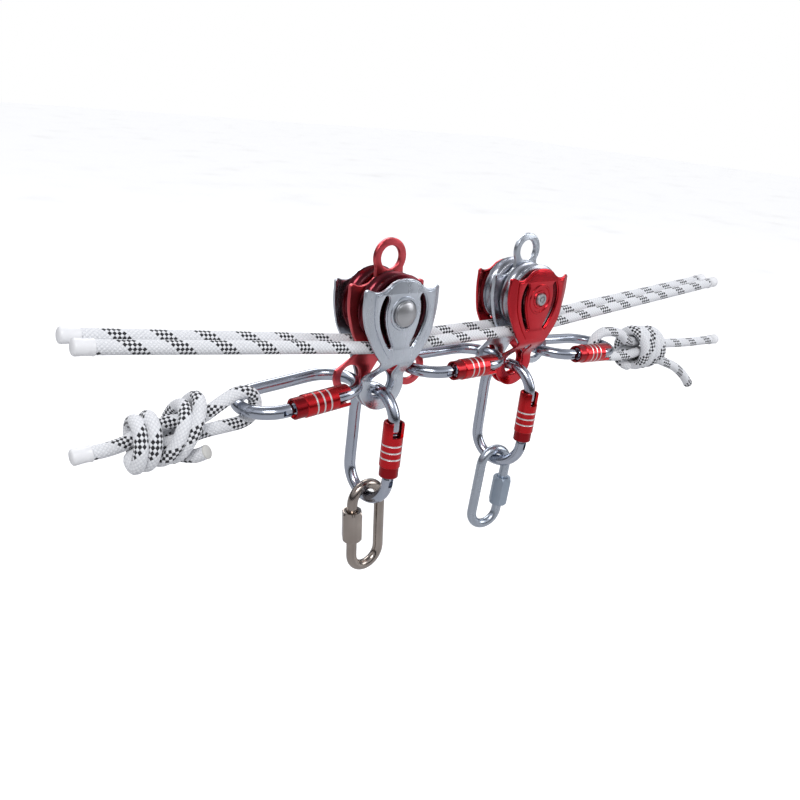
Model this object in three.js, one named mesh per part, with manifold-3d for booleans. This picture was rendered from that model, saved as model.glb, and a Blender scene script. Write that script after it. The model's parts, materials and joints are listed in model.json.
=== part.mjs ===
// A tandem rope pulley rig: two double pulleys on a pair of taut ropes, joined by oval carabiners.
// Millimetres, +Z up, +X along the ropes to the right, +Y to the back.
// The origin is midway between the pulleys and between the ropes, at the height of the rope centres.

import * as THREE from "three";
import { mergeVertices } from "three/addons/utils/BufferGeometryUtils.js";
import Module from "manifold-3d";

const wasm = await Module();
wasm.setup();

// ---------------------------------------------------------------- driving dimensions
const PULLEY_SPACING = 170;
const AXLE_Z = 34;
const GAP = 0.3;

const ROPE_R = 5.5;
const ROPE_Y = 12;
const ROPE_RISE_LEFT = 0.117;
const ROPE_RISE_RIGHT = 0.08;
const ROPE_SPREAD_LEFT = 0.01;
const ROPE_SPREAD_RIGHT = -0.011;
const ROPE_LEFT_X = -342;
const ROPE_RIGHT_X = 412;
const ROPE_END_R = 6.3;
const ROPE_END_LENGTH = 15;

const PLATE_T = 3;
const PLATE_Y = 26.2;
const PLATE_ROLL = 1.5;
const PLATE_FLAT_X = 31;
const BEND_TOP = -42;
const BEND_BOTTOM = -67;
const RING_Y = 5.4;
const RING_Z = -71.5;
const RING_R = 24.5;
const RING_HOLE_R = 13;
const BOSS_R = 14;
const BOSS_T = 1;

const CENTER_T = 4;
const BECKET_Z = 43;
const BECKET_R = 16.8;
const BECKET_HOLE_R = 10.2;
const LOBE_X = 33;
const LOBE_Z = -60.5;
const LOBE_R = 17;
const LOBE_HOLE_R = 10.5;

const SHEAVE_R = 32.5;
const TREAD_R = 27.8;
const GROOVE_R = 6.4;
const SHEAVE_HALF = 8.6;
const BEARING_R = 11;
const AXLE_R = 5;

const BAR_R = 5.5;
const BOW_R = 27;
const STRAIGHT = 26.6;
const CARABINER_REACH = STRAIGHT + BOW_R;
const NOSE_U = 20.5;
const HINGE_U = -26.5;
const SLEEVE_R = 9.75;
const SLEEVE_BORE = 7.2;
const SLEEVE_LOW = -22;
const SLEEVE_HIGH = 31;

const LINK_R = 5;
const LINK_BOW = 16.5;
const LINK_STRAIGHT = 28;
const NUT_FLATS = 18;
const NUT_LENGTH = 32;

const COLOURS = {
  silver: [0xb9bec6, 0.35, 1.0],
  red: [0xb3202b, 0.35, 0.9],
  dark_red: [0x6e1019, 0.4, 0.9],
  steel: [0x9c958c, 0.3, 1.0],
  rope: [0xe9e9ea, 0.9, 0.0],
};

// ---------------------------------------------------------------- helpers
const group = new THREE.Group();

function part(name, colour, geometry, parent = group) {
  const [color, roughness, metalness] = COLOURS[colour];
  const mesh = new THREE.Mesh(geometry, new THREE.MeshStandardMaterial({ color, roughness, metalness }));
  mesh.name = name;
  parent.add(mesh);
  return mesh;
}

function signedVolume(positions, index) {
  const [a, b, c] = [new THREE.Vector3(), new THREE.Vector3(), new THREE.Vector3()];
  let volume = 0;
  for (let i = 0; i < index.count; i += 3) {
    a.fromBufferAttribute(positions, index.getX(i));
    b.fromBufferAttribute(positions, index.getX(i + 1));
    c.fromBufferAttribute(positions, index.getX(i + 2));
    volume += a.dot(b.cross(c)) / 6;
  }
  return volume;
}

// A closed solid of a three.js geometry, with its faces turned to point out.
function solid(geometry) {
  const bare = geometry.clone();
  bare.deleteAttribute("normal");
  bare.deleteAttribute("uv");
  const merged = mergeVertices(bare, 1e-4);
  const corners = Array.from(merged.index.array);
  const isReal = (i) => new Set(corners.slice(i, i + 3)).size === 3;
  const triVerts = new Uint32Array(corners.filter((corner, i) => isReal(i - (i % 3))));
  if (signedVolume(merged.attributes.position, merged.index) < 0) {
    for (let i = 0; i < triVerts.length; i += 3) {
      [triVerts[i], triVerts[i + 1]] = [triVerts[i + 1], triVerts[i]];
    }
  }
  const vertProperties = new Float32Array(merged.attributes.position.array);
  return new wasm.Manifold(new wasm.Mesh({ numProp: 3, vertProperties, triVerts }));
}

function geometryOf(manifold) {
  const mesh = manifold.getMesh();
  const geometry = new THREE.BufferGeometry();
  geometry.setAttribute("position", new THREE.BufferAttribute(new Float32Array(mesh.vertProperties), 3));
  geometry.setIndex(new THREE.BufferAttribute(new Uint32Array(mesh.triVerts), 1));
  return geometry;
}

const point = (x, y, z) => new THREE.Vector3(x, y, z);

// A prism of a shape drawn in X and Z, from y = low to y = high.
function prism(shape, low, high, curveSegments = 8) {
  const { shape: outline, holes } = shape.extractPoints(curveSegments);
  if (THREE.ShapeUtils.isClockWise(outline)) outline.reverse();
  const drawn = new THREE.Shape(outline);
  drawn.holes = holes.map((points) => new THREE.Path(points));
  const geometry = new THREE.ExtrudeGeometry(drawn, { depth: high - low, bevelEnabled: false });
  geometry.rotateX(Math.PI / 2);
  geometry.translate(0, high, 0);
  return solid(geometry);
}

// A turned piece about the Y axis, from [radius, y] pairs that start and end on the axis, or close.
function turned(profile, segments = 24) {
  return solid(new THREE.LatheGeometry(profile.map(([r, y]) => new THREE.Vector2(r, y)), segments));
}

function ringProfile(inner, outer, low, high) {
  return [[inner, low], [outer, low], [outer, high], [inner, high], [inner, low]];
}

function rod(radius, low, high, segments = 16) {
  return turned([[0, low], [radius, low], [radius, high], [0, high]], segments);
}

// A round bar along a smooth curve through the points.
function bar(points, radius, steps, sides = 8) {
  const path = new THREE.CatmullRomCurve3(points, false, "centripetal");
  const section = new THREE.Shape();
  for (let i = 0; i < sides; i += 1) {
    const angle = ((i + 0.5) * 2 * Math.PI) / sides;
    const [x, y] = [radius * Math.cos(angle), radius * Math.sin(angle)];
    if (i === 0) section.moveTo(x, y);
    else section.lineTo(x, y);
  }
  section.closePath();
  return solid(new THREE.ExtrudeGeometry(section, { steps, extrudePath: path, bevelEnabled: false }));
}

function hole(shape, x, z, radius) {
  const circle = new THREE.Path();
  circle.absarc(x, z, radius, 0, 2 * Math.PI, true);
  shape.holes.push(circle);
}

// ---------------------------------------------------------------- plates
// The head that all plates share, from the left side of the neck over the dome to the right side.
function plateHead(shape, becket) {
  shape.quadraticCurveTo(-41, 1, -40, 14);
  shape.lineTo(-40, 20);
  shape.quadraticCurveTo(-38.5, 23, -35, 21.5);
  shape.quadraticCurveTo(-25, 16.5, -15, 26.2);
  if (becket) {
    shape.lineTo(-14.5, 33);
    shape.absarc(0, BECKET_Z, BECKET_R, Math.PI * 1.17, -Math.PI * 0.17, true);
    shape.lineTo(14.5, 33);
    shape.lineTo(15, 26.2);
  } else {
    shape.quadraticCurveTo(-8, 30, 0, 30);
    shape.quadraticCurveTo(8, 30, 15, 26.2);
  }
  shape.quadraticCurveTo(25, 16.5, 35, 21.5);
  shape.quadraticCurveTo(38.5, 23, 40, 20);
  shape.lineTo(40, 14);
  shape.quadraticCurveTo(41, 1, 37, -12);
}

function arcSlot(side) {
  const slot = new THREE.Path();
  slot.moveTo(side * 20.5, 16);
  slot.quadraticCurveTo(side * 33.5, -2, side * 13, -30);
  slot.quadraticCurveTo(side * 10.5, -32.5, side * 9.5, -28.5);
  slot.quadraticCurveTo(side * 24, -3, side * 16.5, 12.5);
  slot.quadraticCurveTo(side * 16.8, 17.5, side * 20.5, 16);
  return slot;
}

function sidePlateShape() {
  const shape = new THREE.Shape();
  shape.moveTo(-18.5, -47);
  shape.lineTo(-18.8, -43);
  shape.quadraticCurveTo(-31, -30, -37, -12);
  plateHead(shape, false);
  shape.quadraticCurveTo(31, -30, 18.8, -43);
  shape.lineTo(18.5, -47);
  shape.absarc(0, RING_Z, RING_R, 0.3, -Math.PI - 0.3, true);
  shape.closePath();
  shape.holes.push(arcSlot(-1), arcSlot(1));
  const eye = new THREE.Path();
  eye.moveTo(-5, -51);
  eye.quadraticCurveTo(0, -43, 5, -51);
  eye.absarc(0, RING_Z, RING_HOLE_R, 0.4, -Math.PI - 0.4, true);
  eye.closePath();
  shape.holes.push(eye);
  return shape;
}

// The bent sheet of a side plate: flat on top, rolled back at its sides, set in at its lower ring.
function bentSheet() {
  const xs = [-45, -PLATE_FLAT_X - 2, -PLATE_FLAT_X, PLATE_FLAT_X, PLATE_FLAT_X + 2, 45];
  const zs = [-105, BEND_BOTTOM, BEND_BOTTOM + 3, BEND_TOP - 3, BEND_TOP, 45];
  const sheet = new THREE.BoxGeometry(5, 1, 5, xs.length - 1, 1, zs.length - 1);
  const positions = sheet.attributes.position;
  for (let i = 0; i < positions.count; i += 1) {
    const x = xs[Math.round(positions.getX(i) + 2.5)];
    const z = zs[Math.round(positions.getZ(i) + 2.5)];
    const drop = THREE.MathUtils.smoothstep(BEND_TOP - z, 0, BEND_TOP - BEND_BOTTOM);
    const roll = THREE.MathUtils.clamp((Math.abs(x) - PLATE_FLAT_X) / 2, 0, 1) * PLATE_ROLL * (1 - drop);
    const inner = positions.getY(i) > 0 ? PLATE_T : 0;
    positions.setXYZ(i, x, -PLATE_Y + (PLATE_Y - RING_Y) * drop + roll + inner, z);
  }
  return solid(sheet);
}

function sidePlate() {
  const blank = bentSheet().intersect(prism(sidePlateShape(), -40, 10, 6));
  const boss = turned(ringProfile(0.01, BOSS_R, -PLATE_Y - BOSS_T, -PLATE_Y + 1));
  const bore = rod(AXLE_R + GAP, -40, 0, 24);
  return blank.add(boss).subtract(bore);
}

function centerPlate() {
  const shape = new THREE.Shape();
  const far = 0.42;
  const near = Math.PI * 1.222;
  shape.moveTo(-LOBE_X - LOBE_R * Math.cos(far), LOBE_Z + LOBE_R * Math.sin(far));
  shape.lineTo(-23, -38);
  shape.quadraticCurveTo(-33, -27, -37, -12);
  plateHead(shape, true);
  shape.quadraticCurveTo(33, -27, 23, -38);
  shape.absarc(LOBE_X, LOBE_Z, LOBE_R, far, near, true);
  shape.lineTo(5, -50);
  shape.quadraticCurveTo(0, -44, -5, -50);
  shape.absarc(-LOBE_X, LOBE_Z, LOBE_R, Math.PI - near, Math.PI - far, true);
  shape.closePath();
  hole(shape, 0, 0, AXLE_R + GAP);
  hole(shape, 0, BECKET_Z, BECKET_HOLE_R);
  hole(shape, -LOBE_X, LOBE_Z, LOBE_HOLE_R);
  hole(shape, LOBE_X, LOBE_Z, LOBE_HOLE_R);
  return prism(shape, -CENTER_T / 2, CENTER_T / 2, 6);
}

// ---------------------------------------------------------------- sheaves, bearings and axles
function sheave() {
  const groove = [];
  for (let i = 0; i <= 4; i += 1) {
    const angle = (i / 4 - 0.5) * Math.PI * 0.78;
    groove.push([TREAD_R + GROOVE_R - GROOVE_R * Math.cos(angle), GROOVE_R * Math.sin(angle)]);
  }
  const profile = [[BEARING_R + GAP, -SHEAVE_HALF], [SHEAVE_R, -SHEAVE_HALF], [SHEAVE_R, -SHEAVE_HALF + 1.4]];
  profile.push(...groove, [SHEAVE_R, SHEAVE_HALF - 1.4], [SHEAVE_R, SHEAVE_HALF]);
  profile.push([BEARING_R + GAP, SHEAVE_HALF], [BEARING_R + GAP, -SHEAVE_HALF]);
  return turned(profile, 22);
}

function bearing() {
  return turned(ringProfile(AXLE_R + GAP, BEARING_R, -SHEAVE_HALF - 0.4, SHEAVE_HALF + 0.4), 14);
}

// The axle's head is in front; the rivet cap closes its back end.
function axle(headR, headT, seat) {
  const front = -PLATE_Y - seat - GAP;
  const back = PLATE_Y + 4;
  const profile = [
    [0, front - headT], [headR * 0.5, front - headT * 0.85], [headR * 0.85, front - headT * 0.5],
  ];
  profile.push([headR, front - headT * 0.1], [headR, front], [AXLE_R, front], [AXLE_R, back], [0, back]);
  return turned(profile, 16);
}

function rivetCap() {
  const low = PLATE_Y + BOSS_T + GAP;
  return turned(ringProfile(AXLE_R + GAP, 8.5, low, low + 2.6), 14);
}

// ---------------------------------------------------------------- carabiners
// Local frame: +X runs to the nose end, +Y to the gate's side, Z is across the bow's plane.
function arcPoints(cx, from, to, count) {
  const points = [];
  for (let i = 0; i <= count; i += 1) {
    const angle = from + ((to - from) * i) / count;
    points.push(new THREE.Vector3(cx + BOW_R * Math.cos(angle), BOW_R * Math.sin(angle), 0));
  }
  return points;
}

function carabinerBody() {
  const points = [new THREE.Vector3(-23, BOW_R, 0)];
  points.push(...arcPoints(-STRAIGHT - 0.4, Math.PI / 2, 1.5 * Math.PI, 8));
  points.push(new THREE.Vector3(0, -BOW_R, 0));
  points.push(...arcPoints(STRAIGHT, -Math.PI / 2, Math.PI / 2, 8));
  points.push(new THREE.Vector3(NOSE_U, BOW_R, 0));
  const slot = new THREE.BoxGeometry(11, 16, 4.6);
  slot.translate(HINGE_U - 0.5, BOW_R, 0);
  const pin = rod(1.5 + GAP, -8, 8, 8).rotate([90, 0, 0]).translate([HINGE_U, BOW_R, 0]);
  return bar(points, BAR_R, 30, 8).subtract(solid(slot)).subtract(pin);
}

// A turned piece along the gate's line.
function alongGate(profile, segments) {
  return turned(profile, segments).rotate([0, 0, -90]).translate([0, BOW_R, 0]);
}

function gate() {
  const rodProfile = [[0, -20], [5, -20], [5, -18], [6.9, -18], [6.9, 15], [4.8, 15], [4.8, 20], [0, 20]];
  const rodPart = alongGate(rodProfile, 12);
  const tongueShape = new THREE.Shape();
  tongueShape.moveTo(-18.5, -3.6);
  tongueShape.lineTo(-18.5, 3.6);
  tongueShape.lineTo(HINGE_U, 3.6);
  tongueShape.absarc(HINGE_U, 0, 3.6, Math.PI / 2, Math.PI * 1.5, false);
  tongueShape.closePath();
  hole(tongueShape, HINGE_U, 0, 1.5 + GAP);
  const tongue = new THREE.ExtrudeGeometry(tongueShape, { depth: 4, bevelEnabled: false, curveSegments: 6 });
  tongue.translate(0, BOW_R, -2);
  return rodPart.add(solid(tongue));
}

function sleeve() {
  const profile = [
    [SLEEVE_BORE, SLEEVE_LOW], [SLEEVE_R - 0.8, SLEEVE_LOW], [SLEEVE_R - 0.8, SLEEVE_LOW + 10],
    [SLEEVE_R, SLEEVE_LOW + 10.6], [SLEEVE_R, SLEEVE_HIGH - 1], [SLEEVE_R - 1, SLEEVE_HIGH],
    [SLEEVE_BORE, SLEEVE_HIGH], [SLEEVE_BORE, SLEEVE_LOW],
  ];
  const window = new THREE.BoxGeometry(28, 12, 12);
  window.translate(17 + 14, BOW_R + 6.5, 0);
  return alongGate(profile, 14).subtract(solid(window));
}

function hingePin() {
  return rod(1.5, -4.6, 4.6, 8).rotate([90, 0, 0]).translate([HINGE_U, BOW_R, 0]);
}

function carabiner(name, place) {
  const holder = new THREE.Group();
  place(holder);
  group.add(holder);
  part(`${name}_body`, "silver", geometryOf(carabinerBody()), holder);
  part(`${name}_gate`, "silver", geometryOf(gate()), holder);
  part(`${name}_sleeve`, "red", geometryOf(sleeve()), holder);
  part(`${name}_hinge_pin`, "steel", geometryOf(hingePin()), holder);
}

// Sets a holder's local axes, given as vectors in the model's frame, and its origin.
function setAxes(holder, along, side, origin) {
  const matrix = new THREE.Matrix4();
  const x = along.clone().normalize();
  const z = new THREE.Vector3().crossVectors(x, side).normalize();
  const y = new THREE.Vector3().crossVectors(z, x);
  matrix.makeBasis(x, y, z).setPosition(origin);
  holder.applyMatrix4(matrix);
}

// ---------------------------------------------------------------- quick links
// Local frame: the link hangs down -Z from the point where its upper bow rests, and lies in X and Z.
function quickLink(name, place, side, nutRise) {
  const holder = new THREE.Group();
  place(holder);
  group.add(holder);
  const centre = -LINK_STRAIGHT - LINK_BOW;
  const onBow = (angle, z) => {
    return point(side * LINK_BOW * Math.cos(angle), 0, centre + z + LINK_BOW * Math.sin(angle));
  };
  const onLeg = (leg, z) => point(leg * side * LINK_BOW, 0, centre + z);
  const points = [onLeg(1, nutRise + 13), onLeg(1, 21)];
  for (let i = 0; i <= 7; i += 1) points.push(onBow((i / 7) * Math.PI, LINK_STRAIGHT));
  points.push(onLeg(-1, 20), onLeg(-1, -20));
  for (let i = 0; i <= 7; i += 1) points.push(onBow((1 + i / 7) * Math.PI, -LINK_STRAIGHT));
  points.push(onLeg(1, -21), onLeg(1, nutRise + 9));
  part(`${name}_body`, "steel", geometryOf(bar(points, LINK_R, 28, 8)), holder);
  const nutR = NUT_FLATS / Math.sqrt(3);
  const hex = new THREE.CylinderGeometry(nutR, nutR, NUT_LENGTH, 6);
  const nut = solid(hex).subtract(rod(LINK_R + 2 * GAP, -30, 30, 12)).rotate([90, 0, 0]);
  part(`${name}_nut`, "steel", geometryOf(nut.translate([side * LINK_BOW, 0, centre + nutRise])), holder);
}

// ---------------------------------------------------------------- ropes
function ropeEnd(name, origin, away) {
  const cap = turned([[0, GAP], [ROPE_END_R, GAP], [ROPE_END_R, ROPE_END_LENGTH - 1.5],
    [ROPE_END_R - 1.5, ROPE_END_LENGTH], [0, ROPE_END_LENGTH]], 10);
  const mesh = part(name, "rope", geometryOf(cap));
  mesh.quaternion.setFromUnitVectors(point(0, 1, 0), away.clone().normalize());
  mesh.position.copy(origin);
}

// The ropes run level under the sheaves, rise towards both ends, and spread or close a little.
function trackPoint(x, side) {
  const half = PULLEY_SPACING / 2 + 6;
  const beyondLeft = Math.max(0, -half - x);
  const beyondRight = Math.max(0, x - half);
  const y = side * (ROPE_Y + beyondLeft * ROPE_SPREAD_LEFT + beyondRight * ROPE_SPREAD_RIGHT);
  return point(x, y, beyondLeft * ROPE_RISE_LEFT + beyondRight * ROPE_RISE_RIGHT);
}

function trackRope(name, side) {
  const stations = [ROPE_LEFT_X, -260, -180, -101, -85, 0, 85, 101, 200, 300, ROPE_RIGHT_X];
  const points = stations.map((x) => trackPoint(x, side));
  part(name, "rope", geometryOf(bar(points, ROPE_R, 24, 8)));
  const [left, right] = [points[0], points[points.length - 1]];
  ropeEnd(`${name}_end_left`, left, left.clone().sub(points[1]));
  ropeEnd(`${name}_end_right`, right, right.clone().sub(points[points.length - 2]));
}

// The outer shape of a drawn-up figure-eight knot, turned about the rope's line.
function knot(name, low, high, radius) {
  const length = low.distanceTo(high);
  const profile = [[0, 0], [9, 0], [radius * 0.82, length * 0.12], [radius, length * 0.34]];
  profile.push([radius, length * 0.62], [radius * 0.84, length * 0.88], [14.5, length], [0, length]);
  const mesh = part(name, "rope", geometryOf(turned(profile, 14)));
  mesh.quaternion.setFromUnitVectors(point(0, 1, 0), high.clone().sub(low).normalize());
  mesh.position.copy(low);
}

function ropeTube(name, points, steps) {
  part(name, "rope", geometryOf(bar(points, ROPE_R, steps, 8)));
}

// ---------------------------------------------------------------- assembly
function pulley(letter, x, plateColour, centerColour, sheaveColour, headR, headT) {
  const holder = new THREE.Group();
  holder.position.set(x, 0, AXLE_Z);
  group.add(holder);
  const plate = sidePlate();
  part(`side_plate_front_${letter}`, plateColour, geometryOf(plate), holder);
  part(`side_plate_rear_${letter}`, plateColour, geometryOf(plate.rotate([0, 0, 180])), holder);
  part(`center_plate_${letter}`, centerColour, geometryOf(centerPlate()), holder);
  part(`axle_${letter}`, "silver", geometryOf(axle(headR, headT, BOSS_T)), holder);
  part(`axle_rivet_${letter}`, "silver", geometryOf(rivetCap()), holder);
  for (const [end, y] of [["front", -ROPE_Y], ["rear", ROPE_Y]]) {
    part(`sheave_${end}_${letter}`, sheaveColour, geometryOf(sheave().translate([0, y, 0])), holder);
    part(`bearing_${end}_${letter}`, "steel", geometryOf(bearing().translate([0, y, 0])), holder);
  }
}

pulley("a", -PULLEY_SPACING / 2, "silver", "red", "dark_red", 11.5, 5);
pulley("b", PULLEY_SPACING / 2, "red", "silver", "silver", 6.5, 2.5);

// The hanging carabiners rest on the lower bars of the side plates' rings, turned a little about Z.
const hangZ = AXLE_Z + RING_Z - RING_HOLE_R + BAR_R + 6 * GAP;
const hanging = [
  {
    letter: "a", x: -PULLEY_SPACING / 2 - 1, rise: 0, lean: 1.5, turn: 5,
    linkTurn: 3, linkTilt: 4, nutSide: -1, nutRise: 6,
  },
  {
    letter: "b", x: PULLEY_SPACING / 2 + 1.5, rise: 1.8, lean: 1.5, turn: 14,
    linkTurn: -8, linkTilt: -4, nutSide: 1, nutRise: -5,
  },
];
for (const hanger of hanging) {
  const { letter, x, rise, lean, turn, linkTurn, linkTilt, nutSide, nutRise } = hanger;
  const degrees = THREE.MathUtils.degToRad;
  const up = point(Math.sin(degrees(lean)), 0, Math.cos(degrees(lean)));
  const side = point(Math.sin(degrees(turn)), -Math.cos(degrees(turn)), 0);
  const top = point(x, 0, hangZ + rise);
  const centre = top.clone().addScaledVector(up, -CARABINER_REACH);
  carabiner(`carabiner_low_${letter}`, (holder) => setAxes(holder, up, side, centre));
  // Each quick link's upper bow rests on the lower bow of its carabiner.
  const rest = centre.clone().addScaledVector(up, -CARABINER_REACH);
  rest.z += BAR_R + LINK_R + 2 * GAP;
  quickLink(`quick_link_${letter}`, (holder) => {
    holder.position.copy(rest);
    holder.rotation.set(0, degrees(-linkTilt), degrees(linkTurn), "ZYX");
  }, nutSide, nutRise);
}

// The level carabiners join the lobes, with their gates in front and their noses to the right.
const levels = [
  ["left", point(-116.3, 0, -29.5), point(-1, 0, -0.087), -1],
  ["middle", point(-52.6, 0, -26), point(1, 0, 0), 1],
  ["right", point(122.2, 0, -28.3), point(1, 0, -0.067), 1],
];
for (const [end, pivot, away, direction] of levels) {
  const centre = pivot.clone().addScaledVector(away.normalize(), CARABINER_REACH);
  const along = away.clone().multiplyScalar(direction);
  carabiner(`carabiner_${end}`, (holder) => setAxes(holder, along, point(0, -1, 0), centre));
}

trackRope("track_rope_front", -1);
trackRope("track_rope_rear", 1);

knot("tag_knot_left", point(-319, 0, -54), point(-260, 0, -47), 28);
knot("tag_knot_right", point(330, 0, -48), point(283, 0, -46), 27);

ropeTube("tag_loop_left", [
  point(-255, 0, -40.5), point(-247, 0, -36), point(-238, 0, -31), point(-229, 0, -27), point(-220, 0, -26),
  point(-212.5, 0, -30.5), point(-210.5, 0, -39), point(-214, 0, -47), point(-222, 0, -51.3),
  point(-232, 0, -52.5),
  point(-243, 0, -53), point(-256, 0, -54),
], 18);
ropeTube("tag_loop_right", [
  point(279, 0, -36), point(268, 0, -29), point(255, 0, -24), point(241, 0, -22), point(228, 0, -22.5),
  point(219, 0, -28), point(216.5, 0, -36.5), point(220, 0, -45.5), point(229, 0, -49.5), point(240, 0, -51),
  point(255, 0, -53), point(278, 0, -55),
], 18);

const tagLeft = point(-342, 0, -55);
const tagRight = point(462, 0, -55);
ropeTube("tag_standing_left", [point(-320, 0, -54), point(-331, 0, -54.4), tagLeft], 3);
ropeTube("tag_standing_right", [point(330.4, 0, -46), point(370, 0, -49.5), point(415, 0, -53), tagRight], 8);
ropeEnd("tag_end_left", tagLeft, point(-1, 0, -0.05));
ropeEnd("tag_end_right", tagRight, point(1, 0, -0.04));
ropeTube("tag_tail_right", [
  point(331, -8, -63.5), point(352, -9, -69), point(371, -10, -76), point(389, -10, -85),
  point(404, -10, -95),
  point(417, -10, -106),
], 10);

export default group;
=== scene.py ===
"""A tandem rope pulley rig: fine pieces, materials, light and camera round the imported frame."""
import json
import math

import bmesh
import bpy
import numpy as np
from mathutils import Matrix, Vector

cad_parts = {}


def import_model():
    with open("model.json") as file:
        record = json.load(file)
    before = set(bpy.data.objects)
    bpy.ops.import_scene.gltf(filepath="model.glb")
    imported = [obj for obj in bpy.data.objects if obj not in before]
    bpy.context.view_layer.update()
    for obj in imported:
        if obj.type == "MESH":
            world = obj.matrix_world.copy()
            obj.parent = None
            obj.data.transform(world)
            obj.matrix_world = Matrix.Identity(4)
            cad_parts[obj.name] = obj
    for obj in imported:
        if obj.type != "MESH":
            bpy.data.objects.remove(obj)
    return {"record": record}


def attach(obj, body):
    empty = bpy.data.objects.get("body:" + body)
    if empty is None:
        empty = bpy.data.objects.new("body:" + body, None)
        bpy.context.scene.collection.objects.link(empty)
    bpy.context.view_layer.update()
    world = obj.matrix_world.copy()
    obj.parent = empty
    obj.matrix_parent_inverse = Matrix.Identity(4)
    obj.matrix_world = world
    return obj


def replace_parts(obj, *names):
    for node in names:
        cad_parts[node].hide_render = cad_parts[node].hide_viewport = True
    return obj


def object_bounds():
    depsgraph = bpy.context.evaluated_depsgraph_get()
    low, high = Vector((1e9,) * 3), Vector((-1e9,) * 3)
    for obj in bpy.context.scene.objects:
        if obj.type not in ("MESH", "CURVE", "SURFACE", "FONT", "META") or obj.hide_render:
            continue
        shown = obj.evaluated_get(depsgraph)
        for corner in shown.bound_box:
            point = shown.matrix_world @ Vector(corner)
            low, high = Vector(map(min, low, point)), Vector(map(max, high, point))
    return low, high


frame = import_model()
CAD_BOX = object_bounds()
MM = 0.001
RECORD = frame["record"]
JOINTS = {joint["name"]: joint for joint in RECORD["behaviour"]["joints"]}

# ---------------------------------------------------------------- sizes, in millimetres
ROPE_R = 5.5
GAP = 0.3
SPACING = 170
LEFT_X, RIGHT_X = -SPACING / 2, SPACING / 2
AXLE_Z = 34
ROPE_Y = 12
ROPE_RISE_LEFT = 0.117
ROPE_RISE_RIGHT = 0.08
ROPE_SPREAD_LEFT = 0.01
ROPE_SPREAD_RIGHT = -0.011
ROPE_LEFT_X = -342
ROPE_RIGHT_X = 412
CAP_R = 6.3
CAP_LENGTH = 15

PLATE_T = 3
PLATE_Y = 26.2
BORDER_ROLL = 2.6
BORDER_FLAT_X = 31.5
BORDER_WIDTH = 8.5
PLATE_EDGE = 0.9
PANEL_RISE = 0.9
PANEL_SUNK = 0.6
PANEL_EDGE = 0.3
SLOT_MARGIN = 0.8
BEND_TOP = -42
BEND_BOTTOM = -67
RING_Y = 5.4
RING_Z = -71.5
RING_R = 24.5
RING_HOLE_R = 13
CENTER_T = 4
CENTER_EDGE = 0.8
BECKET_Z = 43
BECKET_R = 16.8
BECKET_HOLE_R = 10.2
LOBE_X = 33
LOBE_Z = -60.5
LOBE_R = 17
LOBE_HOLE_R = 10.5
LOBE_FAR_ANGLE = 0.42
LOBE_NEAR_ANGLE = math.pi * 1.222
SHEAVE_R = 32.5
TREAD_R = 27.8
GROOVE_R = 6.4
SHEAVE_HALF = 8.6
BEARING_R = 11
AXLE_R = 5

BAR_R = 5.5
BOW_R = 27
STRAIGHT = 26.6
NOSE_U = 20.5
HINGE_U = -26.5
SLEEVE_R = 9.75
SLEEVE_BORE = 7.2
SLEEVE_LOW = -22
SLEEVE_HIGH = 31
SLEEVE_WINDOW = 18
WINDOW_DEGREES = 44
FORK_HALF = 2.3
TONGUE_R = 3.6
PIN_R = 1.5

LINK_R = 5
LINK_BOW = 16.5
LINK_STRAIGHT = 28
LINK_CENTRE = -LINK_STRAIGHT - LINK_BOW
NUT_FLATS = 18
NUT_LENGTH = 32

BRAID_CARRIERS = 10
BRAID_PITCH = 3.5
TRACER_YARNS = 4
UV_LENGTH = 100


# ---------------------------------------------------------------- camera
def make_camera():
    """The photograph's view: level with the horizon, from the left and a little above."""
    data = bpy.data.cameras.new("camera")
    data.lens = 36.43
    data.sensor_width = 36
    data.shift_x = -0.00125
    data.clip_start = 0.01
    camera = bpy.data.objects.new("camera", data)
    bpy.context.scene.collection.objects.link(camera)
    right = Vector((0.7835, -0.6143, 0.0933)).normalized()
    forward = Vector((0.6037, 0.7171, -0.3482)).normalized()
    up = right.cross(forward).normalized()
    turn = Matrix((right, up, -forward)).transposed().to_4x4()
    camera.matrix_world = Matrix.Translation(Vector((-0.5141, -0.5435, 0.2051))) @ turn
    bpy.context.scene.camera = camera


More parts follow.
